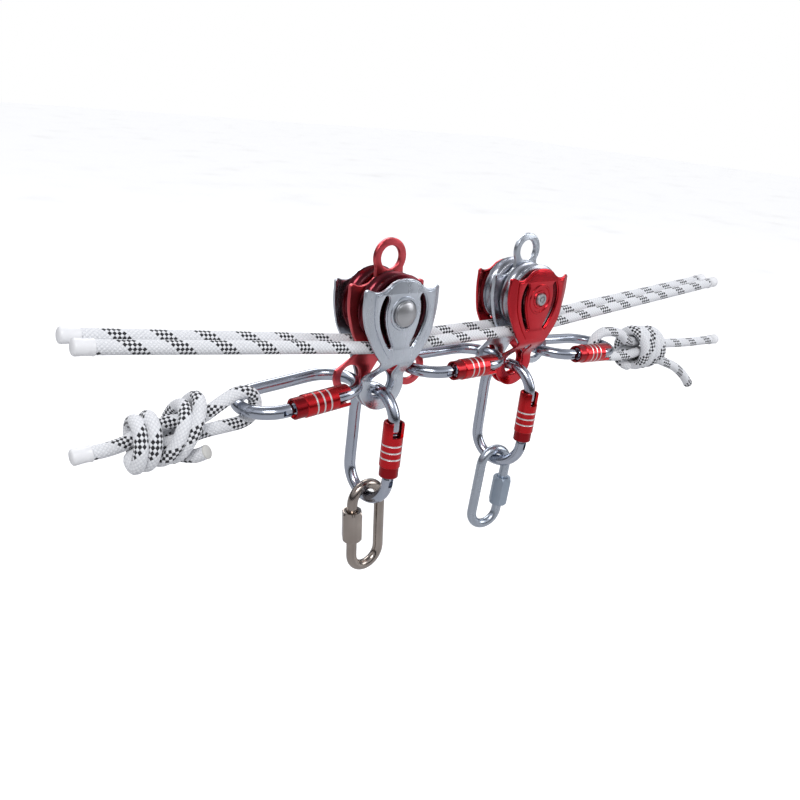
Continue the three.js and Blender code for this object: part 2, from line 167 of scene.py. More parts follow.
# ---------------------------------------------------------------- materials
class Shader:
    """A principled material with a few short ways to add nodes."""

    def __init__(self, name, colour, metallic, roughness):
        self.material = bpy.data.materials.new(name)
        self.material.use_nodes = True
        self.nodes = self.material.node_tree.nodes
        self.links = self.material.node_tree.links
        self.bsdf = self.nodes["Principled BSDF"]
        self.bsdf.inputs["Base Color"].default_value = (*colour, 1)
        self.bsdf.inputs["Metallic"].default_value = metallic
        self.bsdf.inputs["Roughness"].default_value = roughness

    def add(self, kind, **settings):
        node = self.nodes.new(kind)
        for key, value in settings.items():
            setattr(node, key, value)
        return node

    def join(self, source, target):
        self.links.new(source, target)

    def math(self, operation, a, b=0.0):
        node = self.add("ShaderNodeMath", operation=operation)
        for socket, value in zip(node.inputs, (a, b)):
            if isinstance(value, (int, float)):
                socket.default_value = value
            else:
                self.join(value, socket)
        return node.outputs[0]

    def noise(self, scale, detail=3.0, stretch=(1, 1, 1)):
        place = self.add("ShaderNodeTexCoord")
        mapping = self.add("ShaderNodeMapping")
        mapping.inputs["Scale"].default_value = stretch
        texture = self.add("ShaderNodeTexNoise")
        texture.inputs["Scale"].default_value = scale
        texture.inputs["Detail"].default_value = detail
        self.join(place.outputs["Object"], mapping.inputs["Vector"])
        self.join(mapping.outputs[0], texture.inputs["Vector"])
        return texture.outputs["Fac"]

    def ramp(self, value, low, high):
        node = self.add("ShaderNodeMapRange")
        node.inputs["To Min"].default_value = low
        node.inputs["To Max"].default_value = high
        self.join(value, node.inputs["Value"])
        return node.outputs[0]

    def tint(self, value, first, second):
        node = self.add("ShaderNodeMix", data_type="RGBA")
        node.inputs["A"].default_value = (*first, 1)
        node.inputs["B"].default_value = (*second, 1)
        self.join(value, node.inputs["Factor"])
        return node.outputs["Result"]

    def bump(self, height, strength, distance):
        node = self.add("ShaderNodeBump")
        node.inputs["Strength"].default_value = strength
        node.inputs["Distance"].default_value = distance
        self.join(height, node.inputs["Height"])
        self.join(node.outputs[0], self.bsdf.inputs["Normal"])


def metal(name, colour, shade, roughness, grain=260, stretch=(1, 1, 1), depth=0.00004, coat=0.0):
    """A metal with cloudy colour, uneven polish and a fine grain."""
    shader = Shader(name, colour, 1.0, roughness)
    cloud = shader.noise(35, 4.0)
    shader.join(shader.tint(cloud, colour, shade), shader.bsdf.inputs["Base Color"])
    wear = shader.noise(120, 6.0, stretch)
    shader.join(shader.ramp(wear, roughness * 0.7, roughness * 1.35), shader.bsdf.inputs["Roughness"])
    shader.bump(shader.noise(grain, 5.0, stretch), 0.35, depth)
    shader.bsdf.inputs["Coat Weight"].default_value = coat
    shader.bsdf.inputs["Coat Roughness"].default_value = 0.12
    return shader.material


def rope_material():
    """A white braided sheath: two families of yarns crossing, with a group of one family black, and painted
    shade darkening the gaps between the yarns.
    """
    shader = Shader("rope_sheath", (0.86, 0.87, 0.89), 0.0, 0.82)
    place = shader.add("ShaderNodeUVMap", uv_map="along")
    split = shader.add("ShaderNodeSeparateXYZ")
    shader.join(place.outputs[0], split.inputs[0])
    along = shader.math("MULTIPLY", split.outputs["X"], UV_LENGTH / BRAID_PITCH)
    around = shader.math("MULTIPLY", split.outputs["Y"], BRAID_CARRIERS)
    yarn_p = shader.math("ADD", around, along)
    yarn_q = shader.math("SUBTRACT", around, along)
    cell_p = shader.math("FLOOR", yarn_p)
    cell_q = shader.math("FLOOR", yarn_q)
    across_p = shader.math("SUBTRACT", yarn_p, cell_p)
    across_q = shader.math("SUBTRACT", yarn_q, cell_q)
    parity = shader.math("FLOORED_MODULO", shader.math("ADD", cell_p, cell_q), 2)
    p_on_top = shader.math("LESS_THAN", parity, 0.5)
    q_on_top = shader.math("SUBTRACT", 1.0, p_on_top)
    crest_p = shader.math("SINE", shader.math("MULTIPLY", across_p, math.pi))
    crest_q = shader.math("SINE", shader.math("MULTIPLY", across_q, math.pi))
    ridge_p = shader.math("MULTIPLY", p_on_top, shader.math("POWER", crest_p, 0.6))
    ridge_q = shader.math("MULTIPLY", q_on_top, shader.math("POWER", crest_q, 0.6))
    ridges = shader.math("ADD", ridge_p, ridge_q)
    height = shader.math("MULTIPLY", ridges, shader.math("MULTIPLY", crest_p, crest_q))
    tracer = shader.math("FLOORED_MODULO", cell_q, BRAID_CARRIERS)
    dark = shader.math("MULTIPLY", shader.math("LESS_THAN", tracer, TRACER_YARNS - 0.5), q_on_top)
    white = shader.tint(shader.noise(600, 4.0), (0.80, 0.81, 0.84), (0.93, 0.93, 0.94))
    # painted shade: the sheath's colour darkens towards the gaps between the yarns, where the weave is low
    groove = shader.add("ShaderNodeMix", data_type="RGBA")
    groove.inputs["A"].default_value = (0.64, 0.65, 0.68, 1)
    shader.join(shader.math("POWER", height, 0.35), groove.inputs["Factor"])
    shader.join(white, groove.inputs["B"])
    mark = shader.add("ShaderNodeMix", data_type="RGBA")
    mark.inputs["B"].default_value = (0.012, 0.012, 0.016, 1)
    shader.join(dark, mark.inputs["Factor"])
    shader.join(groove.outputs["Result"], mark.inputs["A"])
    shader.join(mark.outputs["Result"], shader.bsdf.inputs["Base Color"])
    shader.bump(height, 0.8, 0.0005)
    shader.bsdf.inputs["Sheen Weight"].default_value = 0.15
    return shader.material


def plastic(name, colour, shade, roughness):
    """Shrunk or melted plastic with a faint orange-peel surface."""
    shader = Shader(name, colour, 0.0, roughness)
    shader.join(shader.tint(shader.noise(90), colour, shade), shader.bsdf.inputs["Base Color"])
    shader.bump(shader.noise(900, 4.0), 0.4, 0.0001)
    return shader.material


MATERIALS = {
    "silver": metal("satin_silver", (0.66, 0.69, 0.74), (0.50, 0.54, 0.60), 0.27, 700, (1, 1, 0.2)),
    "red": metal("glossy_red", (0.68, 0.022, 0.036), (0.48, 0.010, 0.018), 0.22, 500, coat=0.35),
    "rose": metal("satin_red", (0.76, 0.13, 0.15), (0.58, 0.055, 0.065), 0.31, 700, coat=0.1),
    "dark_red": metal("dark_red", (0.13, 0.008, 0.016), (0.06, 0.003, 0.008), 0.25, 400, coat=0.3),
    "polished": metal("polished", (0.50, 0.53, 0.60), (0.36, 0.39, 0.46), 0.17, 300),
    "sleeve": metal("sleeve_red", (0.66, 0.014, 0.02), (0.50, 0.007, 0.012), 0.27, 600, coat=0.3),
    "band": metal("sleeve_dark", (0.36, 0.008, 0.014), (0.25, 0.004, 0.008), 0.3, 600, coat=0.2),
    "engraved": metal("engraved_silver", (0.80, 0.78, 0.78), (0.66, 0.62, 0.62), 0.4, 600),
    "stainless": metal("stainless", (0.43, 0.38, 0.34), (0.23, 0.19, 0.165), 0.18, 300, coat=0.1),
    "zinc": metal("zinc", (0.50, 0.54, 0.60), (0.38, 0.42, 0.48), 0.28, 800),
    "zinc_dull": metal("zinc_dull", (0.42, 0.48, 0.56), (0.34, 0.40, 0.47), 0.5, 900, depth=0.00008),
    "tread": metal("tread_steel", (0.42, 0.43, 0.47), (0.30, 0.31, 0.35), 0.24, 300),
    "head": metal("axle_head", (0.52, 0.52, 0.53), (0.40, 0.40, 0.41), 0.33, 500),
    "steel": metal("steel", (0.52, 0.52, 0.54), (0.36, 0.36, 0.38), 0.3, 600),
    "rope": rope_material(),
    "shrink": plastic("shrink_sleeve", (0.88, 0.88, 0.89), (0.80, 0.80, 0.82), 0.35),
    "melted_pale": plastic("melted_pale", (0.70, 0.69, 0.66), (0.50, 0.49, 0.46), 0.5),
    "melted_dark": plastic("melted_dark", (0.03, 0.03, 0.03), (0.10, 0.09, 0.08), 0.5),
}


# ---------------------------------------------------------------- mesh helpers
def make(name, verts, faces, material, marks=None, uvs=None, sharp=35):
    """A mesh object from points in millimetres. marks holds a material number for each face."""
    mesh = bpy.data.meshes.new(name)
    mesh.from_pydata([tuple(v) for v in np.asarray(verts, float) * MM], [], faces)
    for key in [material] if isinstance(material, str) else material:
        mesh.materials.append(MATERIALS[key])
    if marks is not None:
        mesh.polygons.foreach_set("material_index", marks)
    if uvs is not None:
        layer = mesh.uv_layers.new(name="along")
        layer.data.foreach_set("uv", np.asarray(uvs, np.float32).ravel())
    finish_mesh(mesh, sharp)
    obj = bpy.data.objects.new(name, mesh)
    bpy.context.scene.collection.objects.link(obj)
    return obj


def finish_mesh(mesh, sharp=35):
    work = bmesh.new()
    work.from_mesh(mesh)
    bmesh.ops.recalc_face_normals(work, faces=work.faces)
    work.to_mesh(mesh)
    work.free()
    mesh.shade_smooth()
    mesh.set_sharp_from_angle(angle=math.radians(sharp))
    mesh.update()


def place(obj, matrix):
    """Moves the mesh itself, so that the object stays at the frame's origin."""
    obj.data.transform(matrix)
    obj.data.update()
    return obj


def at(x, y, z):
    return Matrix.Translation(Vector((x, y, z)) * MM)


def evaluated_mesh(obj):
    bpy.context.view_layer.update()
    return bpy.data.meshes.new_from_object(obj.evaluated_get(bpy.context.evaluated_depsgraph_get()))


def cut(obj, *tools):
    """Takes the tools' shapes out of obj."""
    for tool in tools:
        modifier = obj.modifiers.new("cut", "BOOLEAN")
        modifier.operation = "DIFFERENCE"
        modifier.solver = "EXACT"
        modifier.object = tool
    result = evaluated_mesh(obj)
    obj.modifiers.clear()
    obj.data = result
    finish_mesh(result)
    for tool in tools:
        bpy.data.objects.remove(tool)
    return obj


def block(low, high):
    """A plain cutting block between two corners, in millimetres."""
    (x0, y0, z0), (x1, y1, z1) = low, high
    corners = [(x, y, z) for x in (x0, x1) for y in (y0, y1) for z in (z0, z1)]
    faces = [(0, 1, 3, 2), (4, 6, 7, 5), (0, 4, 5, 1), (2, 3, 7, 6), (0, 2, 6, 4), (1, 5, 7, 3)]
    return make("cutter", corners, faces, "steel")


def turned(name, profile, material, segments=64, marks=None, arc=None):
    """Turns (radius, y) pairs about the Y axis.

    The profile closes on itself, or starts and ends on the axis. marks holds a material number for
    each of its lines, and arc the two angles of a part turn.
    """
    closed = profile[0] == profile[-1]
    points = profile[:-1] if closed else profile
    count = len(points)
    full = arc is None
    start, end = (0, 2 * math.pi) if full else arc
    rings = segments if full else segments + 1
    verts = []
    for i in range(rings):
        angle = start + (end - start) * i / segments
        verts += [(r * math.cos(angle), y, r * math.sin(angle)) for r, y in points]
    faces, numbers = [], []
    for i in range(segments):
        j = (i + 1) % rings
        for k in range(count if closed else count - 1):
            m = (k + 1) % count
            faces.append((i * count + k, i * count + m, j * count + m, j * count + k))
            numbers.append(marks[k] if marks else 0)
    if not full:
        faces += [tuple(range(count)), tuple((rings - 1) * count + k for k in range(count))]
        numbers += [0, 0]
    obj = make(name, verts, faces, material, numbers)
    work = bmesh.new()
    work.from_mesh(obj.data)
    bmesh.ops.remove_doubles(work, verts=work.verts, dist=1e-7)
    bmesh.ops.dissolve_degenerate(work, edges=work.edges, dist=1e-8)
    work.to_mesh(obj.data)
    work.free()
    finish_mesh(obj.data)
    return obj


def mix(t, a, b, low, high):
    """Goes from a to b as t goes from low to high."""
    return ((high - t) * a + (t - low) * b) / (high - low)


def smooth_path(points, step):
    """A centripetal curve through the points, sampled at even steps along its length."""
    pts = np.asarray(points, float)
    pts = np.vstack([2 * pts[0] - pts[1], pts, 2 * pts[-1] - pts[-2]])
    fine = []
    for i in range(1, len(pts) - 2):
        p = pts[i - 1:i + 3]
        knots = np.concatenate([[0], np.cumsum(np.sqrt(np.linalg.norm(np.diff(p, axis=0), axis=1)))])
        t = np.linspace(knots[1], knots[2], 24, endpoint=False)[:, None]
        a = [mix(t, p[k], p[k + 1], knots[k], knots[k + 1]) for k in range(3)]
        b = [mix(t, a[k], a[k + 1], knots[k], knots[k + 2]) for k in range(2)]
        fine.append(mix(t, b[0], b[1], knots[1], knots[2]))
    fine = np.vstack(fine + [pts[-2:-1]])
    length = np.concatenate([[0], np.cumsum(np.linalg.norm(np.diff(fine, axis=0), axis=1))])
    count = max(2, int(round(length[-1] / step)))
    stations = np.linspace(0, length[-1], count + 1)
    return np.column_stack([np.interp(stations, length, fine[:, k]) for k in range(3)])


def tube(name, path, radius, material, sides=24):
    """A round tube along a path, with its length and turn kept as texture coordinates."""
    path = np.asarray(path)
    tangents = np.gradient(path, axis=0)
    tangents /= np.linalg.norm(tangents, axis=1)[:, None]
    side = np.cross(tangents[0], (0, 0, 1) if abs(tangents[0][2]) < 0.9 else (0, 1, 0))
    length = np.concatenate([[0], np.cumsum(np.linalg.norm(np.diff(path, axis=0), axis=1))])
    radii = np.broadcast_to(radius, len(path))
    angles = np.linspace(0, 2 * math.pi, sides, endpoint=False)
    verts = []
    for point, tangent, r in zip(path, tangents, radii):
        side = side - tangent * side.dot(tangent)
        side /= np.linalg.norm(side)
        other = np.cross(tangent, side)
        verts.append(point + r * (np.outer(np.cos(angles), side) + np.outer(np.sin(angles), other)))
    faces, uvs = [], []
    for i in range(len(path) - 1):
        u0, u1 = length[i] / UV_LENGTH, length[i + 1] / UV_LENGTH
        for k in range(sides):
            m = (k + 1) % sides
            faces.append((i * sides + k, i * sides + m, (i + 1) * sides + m, (i + 1) * sides + k))
            v0, v1 = k / sides, (k + 1) / sides
            uvs += [(u0, v0), (u0, v1), (u1, v1), (u1, v0)]
    last = (len(path) - 1) * sides
    faces += [tuple(range(sides))[::-1], tuple(range(last, last + sides))]
    uvs += [(0, k / sides) for k in range(sides)][::-1]
    uvs += [(length[-1] / UV_LENGTH, k / sides) for k in range(sides)]
    return make(name, np.vstack(verts), faces, material, uvs=uvs, sharp=50)


class Outline:
    """A flat outline in X and Z, in millimetres, drawn with lines, curves and arcs."""

    def __init__(self, x, z):
        self.points = [(x, z)]

    def line(self, x, z):
        self.points.append((x, z))
        return self

    def curve(self, cx, cz, x, z, steps=10):
        x0, z0 = self.points[-1]
        for i in range(1, steps + 1):
            t = i / steps
            a, b, c = (1 - t) ** 2, 2 * t * (1 - t), t * t
            self.points.append((a * x0 + b * cx + c * x, a * z0 + b * cz + c * z))
        return self

    def arc(self, cx, cz, r, start, end, steps=36):
        for i in range(steps + 1):
            angle = start + (end - start) * i / steps
            self.points.append((cx + r * math.cos(angle), cz + r * math.sin(angle)))
        return self


def signed_area(points):
    """The area inside an outline, negative when it runs clockwise."""
    return sum(a[0] * b[1] - b[0] * a[1] for a, b in zip(points, points[1:] + points[:1])) / 2


def circle(cx, cz, r, steps=48):
    angles = [2 * math.pi * i / steps for i in range(steps)]
    return [(cx + r * math.cos(a), cz + r * math.sin(a)) for a in angles]


def plate(name, outlines, low, high, edge, material):
    """A flat plate with rounded edges, from y = low to y = high.

    The first outline is its rim and runs anticlockwise; the others are holes and run clockwise.
    """
    data = bpy.data.curves.new(name, "CURVE")
    data.dimensions = "2D"
    data.fill_mode = "BOTH"
    data.extrude = ((high - low) / 2 - edge) * MM
    data.bevel_depth = edge * MM
    data.bevel_resolution = 2
    data.offset = -edge * MM
    for number, points in enumerate(outlines):
        anticlockwise = signed_area(points) > 0
        if anticlockwise != (number == 0):
            points = points[::-1]
        spline = data.splines.new("POLY")
        spline.points.add(len(points) - 1)
        for target, (x, z) in zip(spline.points, points):
            target.co = (x * MM, z * MM, 0, 1)
        spline.use_cyclic_u = True
    curve = bpy.data.objects.new(name + "_curve", data)
    bpy.context.scene.collection.objects.link(curve)
    mesh = evaluated_mesh(curve)
    bpy.data.objects.remove(curve)
    mesh.transform(at(0, (low + high) / 2, 0) @ Matrix.Rotation(math.pi / 2, 4, "X"))
    mesh.materials.clear()
    mesh.materials.append(MATERIALS[material])
    work = bmesh.new()
    work.from_mesh(mesh)
    bmesh.ops.remove_doubles(work, verts=work.verts, dist=1e-6)
    work.to_mesh(mesh)
    work.free()
    finish_mesh(mesh, 30)
    obj = bpy.data.objects.new(name, mesh)
    bpy.context.scene.collection.objects.link(obj)
    return obj


def smooth_step(t):
    t = min(max(t, 0), 1)
    return t * t * (3 - 2 * t)


def bend_in(obj):
    """Sets the plate in towards the middle between the two bend lines, and rolls its borders back."""
    work = bmesh.new()
    work.from_mesh(obj.data)
    lines = [((0, 0, z), (0, 0, 1)) for z in np.linspace(BEND_BOTTOM, BEND_TOP, 15)]
    for x in np.linspace(BORDER_FLAT_X, BORDER_FLAT_X + 6, 4):
        lines += [((-x, 0, 0), (1, 0, 0)), ((x, 0, 0), (1, 0, 0))]
    for point, normal in lines:
        geometry = work.verts[:] + work.edges[:] + work.faces[:]
        bmesh.ops.bisect_plane(work, geom=geometry, plane_co=Vector(point) * MM, plane_no=normal, dist=1e-7)
    for vert in work.verts:
        x, z = vert.co.x / MM, vert.co.z / MM
        drop = smooth_step((BEND_TOP - z) / (BEND_TOP - BEND_BOTTOM))
        roll = BORDER_ROLL * smooth_step((abs(x) - BORDER_FLAT_X) / BORDER_WIDTH) * (1 - drop)
        vert.co.y += ((PLATE_Y - RING_Y) * drop + roll) * MM
    work.to_mesh(obj.data)
    work.free()
    finish_mesh(obj.data, 30)
    return obj


# ---------------------------------------------------------------- pulleys
def head(outline, becket):
    """The upper half of a plate, from its left side to its right: two ears and a dome or a becket ring."""
    outline.curve(-41, 1, -40, 14).line(-40, 20)
    outline.curve(-38.5, 23, -35, 21.5, 6).curve(-25, 16.5, -15, 26.2)
    if becket:
        outline.line(-14.5, 33).arc(0, BECKET_Z, BECKET_R, math.pi * 1.17, -math.pi * 0.17)
        outline.line(14.5, 33).line(15, 26.2)
    else:
        outline.curve(-8, 30, 0, 30).curve(8, 30, 15, 26.2)
    outline.curve(25, 16.5, 35, 21.5).curve(38.5, 23, 40, 20, 6).line(40, 14)
    outline.curve(41, 1, 37, -12)


def arc_slot(side, grow=0.0):
    """The crescent slot beside the axle, grow wider all round."""
    slot = Outline(side * (20.5 + grow), 16 + grow)
    slot.curve(side * (33.5 + grow), -2, side * (13 + grow), -30 - grow)
    slot.curve(side * 10.5, -32.5 - grow, side * (9.5 - grow), -28.5, 6)
    slot.curve(side * (24 - 2 * grow), -3, side * (16.5 - grow), 12.5)
    slot.curve(side * 16.8, 17.5 + grow, side * (20.5 + grow), 16 + grow, 6)
    return slot.points[:-1]


def side_plate_outlines():
    rim = Outline(-18.5, -47).line(-18.8, -43).curve(-31, -30, -37, -12)
    head(rim, False)
    rim.curve(31, -30, 18.8, -43).line(18.5, -47)
    rim.arc(0, RING_Z, RING_R, 0.3, -math.pi - 0.3)
    eye = Outline(-5, -51).curve(0, -43, 5, -51)
    eye.arc(0, RING_Z, RING_HOLE_R, 0.4, -math.pi - 0.4)
    return [rim.points, arc_slot(-1), arc_slot(1), eye.points, circle(0, 0, AXLE_R + GAP)]


def panel_outlines():
    """The raised middle of a side plate's head, inside its border."""
    rim = Outline(-9, -41).curve(-11.5, -40.5, -13, -38).curve(-24, -24, -29.5, -9)
    rim.curve(-32, 2, -31.5, 18.2)
    rim.curve(-24, 15.2, -14.2, 24.6).curve(-8, 28.3, 0, 28.3).curve(8, 28.3, 14.2, 24.6)
    rim.curve(24, 15.2, 31.5, 18.2).curve(32, 2, 29.5, -9)
    rim.curve(24, -24, 13, -38).curve(11.5, -40.5, 9, -41)
    return [rim.points, arc_slot(-1, SLOT_MARGIN), arc_slot(1, SLOT_MARGIN), circle(0, 0, 9)]


def center_plate_outlines():
    far, near = LOBE_FAR_ANGLE, LOBE_NEAR_ANGLE
    start_x = -LOBE_X - LOBE_R * math.cos(far)
    start_z = LOBE_Z + LOBE_R * math.sin(far)
    rim = Outline(start_x, start_z).line(-23, -38).curve(-33, -27, -37, -12)
    head(rim, True)
    rim.curve(33, -27, 23, -38)
    rim.arc(LOBE_X, LOBE_Z, LOBE_R, far, near - 2 * math.pi)
    rim.line(5, -50).curve(0, -44, -5, -50)
    rim.arc(-LOBE_X, LOBE_Z, LOBE_R, math.pi - near + 2 * math.pi, math.pi - far)
    holes = [circle(0, 0, AXLE_R + GAP), circle(0, BECKET_Z, BECKET_HOLE_R)]
    holes += [circle(-LOBE_X, LOBE_Z, LOBE_HOLE_R), circle(LOBE_X, LOBE_Z, LOBE_HOLE_R)]
    return [rim.points[:-1]] + holes


def boss(name, material, stepped):
    """The raised ring round the axle, with its steps."""
    bore = AXLE_R + GAP
    sunk = -PLATE_Y + 0.5
    floor_y = -PLATE_Y - 0.95
    crest = -PLATE_Y - 1.8
    profile = [(bore, sunk), (bore, floor_y)]
    if stepped:
        profile += [(7.2, floor_y), (7.6, crest), (8.9, crest), (9.4, floor_y)]
    profile += [(12.2, floor_y), (12.7, crest), (13.6, crest - 0.2), (14.5, crest)]
    profile += [(15.2, -PLATE_Y - 0.6), (15.2, sunk), (bore, sunk)]
    return turned(name, profile, material, 96)


def side_plates(letter, x, material, stepped):
    face = -PLATE_Y
    for end, turn in (("front", 0), ("rear", math.pi)):
        matrix = at(x, 0, AXLE_Z) @ Matrix.Rotation(turn, 4, "Z")
        body = f"cheek_{end}_{letter}"
        sheet = plate(f"{body}_sheet", side_plate_outlines(), face, face + PLATE_T, PLATE_EDGE, material)
        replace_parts(place(bend_in(sheet), matrix), f"side_plate_{end}_{letter}")
        low, high = face - PANEL_RISE, face + PANEL_SUNK
        panel = plate(f"{body}_panel", panel_outlines(), low, high, PANEL_EDGE, material)
        ring = boss(f"{body}_boss", material, stepped)
        for piece in (sheet, place(panel, matrix), place(ring, matrix)):
            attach(piece, body)


def center_plate(letter, x, material):
    half = CENTER_T / 2
    obj = plate(f"middle_plate_{letter}", center_plate_outlines(), -half, half, CENTER_EDGE, material)
    place(obj, at(x, 0, AXLE_Z))
    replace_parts(obj, f"center_plate_{letter}")
    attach(obj, "frame")


def domed_head(head_r, head_t, front):
    steps = (0.2, 0.4, 0.55, 0.7, 0.8, 0.88)
    profile = [(0, front - head_t)]
    profile += [(head_r * k, front - head_t * math.sqrt(1 - (k * 0.93) ** 2)) for k in steps]
    profile += [(head_r * 0.9, front - head_t * 0.42), (head_r * 0.97, front - head_t * 0.4)]
    return profile


def dimpled_head(head_r, head_t, front):
    profile = [(0, front - head_t), (head_r * 0.3, front - head_t), (head_r * 0.34, front - head_t * 0.55)]
    profile += [(head_r * 0.5, front - head_t * 0.5), (head_r * 0.56, front - head_t)]
    profile += [(head_r * 0.86, front - head_t * 0.96)]
    return profile


def axle(letter, x, head_r, head_t, shape_head):
    """The axle pin with its head in front, and the rivet cap behind."""
    front = -PLATE_Y - 1 - GAP
    back = PLATE_Y + 4
    profile = shape_head(head_r, head_t, front)
    profile += [(head_r, front - head_t * 0.25), (head_r, front), (AXLE_R, front), (AXLE_R, back), (0, back)]
    pin = place(turned(f"axle_pin_{letter}", profile, "head"), at(x, 0, AXLE_Z))
    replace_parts(pin, f"axle_{letter}")
    low = PLATE_Y + 1 + GAP
    bore = AXLE_R + 0.15
    cap = [(bore, low), (8.5, low), (8.5, low + 1.7), (8.1, low + 2.4), (7.4, low + 2.6), (bore, low + 2.6)]
    cap.append(cap[0])
    rivet = place(turned(f"rivet_cap_{letter}", cap, "polished"), at(x, 0, AXLE_Z))
    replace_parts(rivet, f"axle_rivet_{letter}")
    for piece in (pin, rivet):
        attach(piece, "frame")


def sheave_profile():
    inner = BEARING_R + GAP
    rim = SHEAVE_HALF
    half = [(inner, rim - 0.5), (inner + 0.5, rim), (14.5, rim), (15.2, rim - 1.2), (23.5, rim - 1.2)]
    half += [(24.4, rim - 0.2), (31.6, rim - 0.2), (32.3, rim - 0.6), (SHEAVE_R, rim - 1.3)]
    reach = 0.78 * math.pi / 2
    groove = []
    for i in range(17):
        angle = reach * (1 - i / 8)
        groove.append((TREAD_R + GROOVE_R * (1 - math.cos(angle)), GROOVE_R * math.sin(angle)))
    mirrored = [(r, -y) for r, y in reversed(half)]
    return half + groove + mirrored + [half[0]]


def bearing_profile():
    """Two races with a shallow shield between them, the same on both sides."""
    face = SHEAVE_HALF + 0.4
    half = [(AXLE_R + 0.15, face - 0.3), (AXLE_R + 0.5, face), (7.2, face), (7.5, face - 0.5)]
    half += [(9.3, face - 0.5), (9.6, face), (10.7, face), (BEARING_R, face - 0.3)]
    return half + [(r, -y) for r, y in reversed(half)] + [half[0]]


def sheaves(letter, x, material):
    for end, y in (("front", -ROPE_Y), ("rear", ROPE_Y)):
        wheel = place(turned(f"wheel_{end}_{letter}_tread", sheave_profile(), material, 96), at(x, y, AXLE_Z))
        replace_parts(wheel, f"sheave_{end}_{letter}")
        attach(wheel, f"wheel_{end}_{letter}")
        ring = place(turned(f"bearing_{end}_{letter}_ring", bearing_profile(), "steel"), at(x, y, AXLE_Z))
        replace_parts(ring, f"bearing_{end}_{letter}")
        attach(ring, "frame")


# ---------------------------------------------------------------- carabiners
def bow(cx, start, end):
    angles = np.linspace(start, end, 15)
    return [(cx + BOW_R * math.cos(a), BOW_R * math.sin(a), 0) for a in angles]


def along_gate(obj):
    """Turns a piece made about the Y axis onto the gate's line."""
    return place(obj, at(0, BOW_R, 0) @ Matrix.Rotation(-math.pi / 2, 4, "Z"))


def carabiner_bar():
    """The bent bar, with the fork for the gate's tongue and a stepped nose."""
    points = [(-22.6, BOW_R, 0)] + bow(-STRAIGHT - 0.4, math.pi / 2, math.pi * 1.5) + [(0, -BOW_R, 0)]
    points += bow(STRAIGHT, -math.pi / 2, math.pi / 2) + [(NOSE_U, BOW_R, 0)]
    path = smooth_path(points, 1.6)
    radii = np.full(len(path), float(BAR_R))
    radii[:2] = (BAR_R - 1.0, BAR_R - 0.3)
    radii[-2:] = (BAR_R - 0.3, BAR_R - 1.0)
    bar = tube("bar", path, radii, "polished", 32)
    return cut(bar, block((HINGE_U - 6, BOW_R - 8, -FORK_HALF), (HINGE_U + 5, BOW_R + 8, FORK_HALF)))


def gate_rod():
    profile = [(0, -20), (4.6, -20), (5, -19.6), (5, -18), (6.4, -18), (6.9, -17.5), (6.9, 14.3)]
    profile += [(6.4, 15), (4.8, 15.2), (4.8, 19.4), (4.2, 20), (0, 20)]
    return along_gate(turned("rod", profile, "polished", 48))


def gate_tongue():
    shape = Outline(-18.5, -TONGUE_R).line(-18.5, TONGUE_R).line(HINGE_U, TONGUE_R)
    shape.arc(HINGE_U, 0, TONGUE_R, math.pi / 2, math.pi * 1.5, 16)
    tongue = plate("tongue", [shape.points[:-1], circle(HINGE_U, 0, PIN_R + GAP, 24)], -2, 2, 0.3, "polished")
    return place(tongue, at(0, BOW_R, 0) @ Matrix.Rotation(-math.pi / 2, 4, "X"))


def sleeve_parts():
    """The screw sleeve: a dark band at the hinge end, three engraved lines, and a window at the nose end."""
    low, high, top = SLEEVE_LOW, SLEEVE_HIGH, SLEEVE_WINDOW
    outer, band = SLEEVE_R, SLEEVE_R - 0.8
    profile = [(SLEEVE_BORE, low + 0.5), (SLEEVE_BORE + 0.5, low), (band - 0.5, low), (band, low + 0.6)]
    profile += [(band, low + 9.8), (outer - 0.3, low + 10.2), (outer, low + 10.6)]
    marks = [1, 1, 1, 1, 0, 0, 0]
    for line in (-3, 3.5, 10):
        profile += [(outer, line - 0.75), (outer - 0.35, line - 0.4)]
        profile += [(outer - 0.35, line + 0.4), (outer, line + 0.75)]
        marks += [2, 2, 2, 0]
    profile += [(outer, top), (SLEEVE_BORE, top), (SLEEVE_BORE, low + 0.5)]
    marks += [0, 0]
    body = turned("sleeve", profile, ("sleeve", "band", "engraved"), 72, marks)
    nose = [(SLEEVE_BORE, top), (outer, top), (outer, high - 1.4), (outer - 0.4, high - 0.4)]
    nose += [(outer - 1.1, high), (SLEEVE_BORE + 0.4, high), (SLEEVE_BORE, high - 0.4), (SLEEVE_BORE, top)]
    opening = math.radians(WINDOW_DEGREES)
    lip = turned("lip", nose, "sleeve", 60, arc=(math.pi + opening, 3 * math.pi - opening))
    return [along_gate(body), along_gate(lip)]


def hinge_rivet():
    profile = [(0, -BAR_R + 0.3), (1.2, -BAR_R + 0.4), (2.2, -BAR_R + 0.9), (2.2, -4.4), (PIN_R, -4.4)]
    profile += [(r, -y) for r, y in reversed(profile)]
    rivet = turned("rivet", profile, "steel", 32)
    return place(rivet, at(HINGE_U, BOW_R, 0) @ Matrix.Rotation(math.pi / 2, 4, "X"))


def carabiner_frame(body):
    """The carabiner's own axes and centre, from its gate's and its sleeve's joints."""
    twist, swing = JOINTS[f"{body}_sleeve_twist"], JOINTS[f"{body}_gate_open"]
    x = Vector(twist["axis"]).normalized()
    z = -Vector(swing["axis"]).normalized()
    y = z.cross(x)
    centre = Vector(twist["pos_m"]) - y * BOW_R * MM
    return Matrix.Translation(centre) @ Matrix((x, y, z)).transposed().to_4x4()


def copy_of(source, name, matrix):
    obj = bpy.data.objects.new(name, source.data.copy())
    obj.data.transform(matrix)
    bpy.context.scene.collection.objects.link(obj)
    return obj


